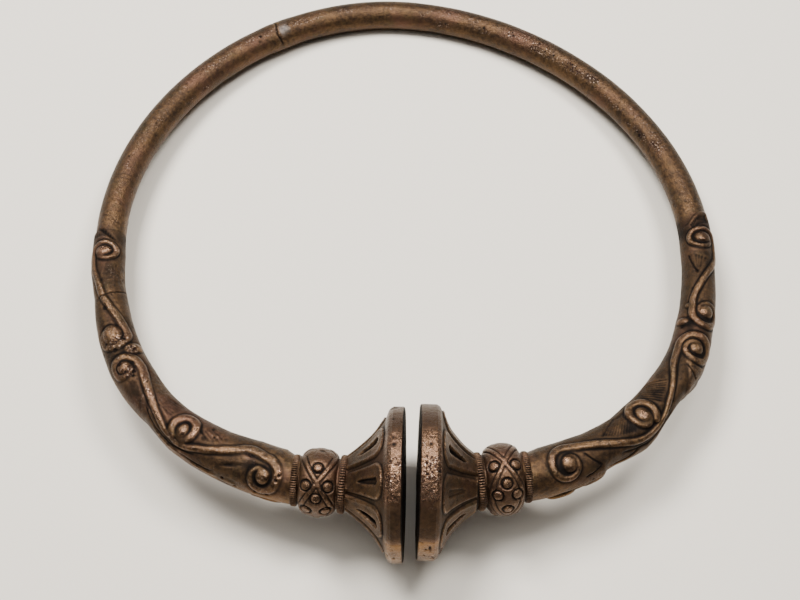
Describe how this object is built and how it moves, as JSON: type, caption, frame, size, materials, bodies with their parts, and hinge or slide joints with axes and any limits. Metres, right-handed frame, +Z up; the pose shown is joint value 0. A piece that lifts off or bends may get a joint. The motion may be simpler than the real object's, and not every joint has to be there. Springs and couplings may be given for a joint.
{
  "type": "patinated bronze buffer torc",
  "caption": "Open oval neck ring of cast bronze with raised scrolls on its arms, ringed knobs and two wide petalled buffers that face each other.",
  "frame": {"origin": "middle of the torc's footprint on the surface that it lies on", "axes": "+Z up, -Y towards the two buffers, +X along the gap from the left buffer to the right one"},
  "size_m": [0.143, 0.1484, 0.0327],
  "materials": {
    "patinated_bronze": "brown patina over cast bronze, copper-coloured where it is worn, almost black in the recesses and pits"
  },
  "bodies": {
    "root": {"torc": "patinated_bronze"}
  },
  "joints": []
}
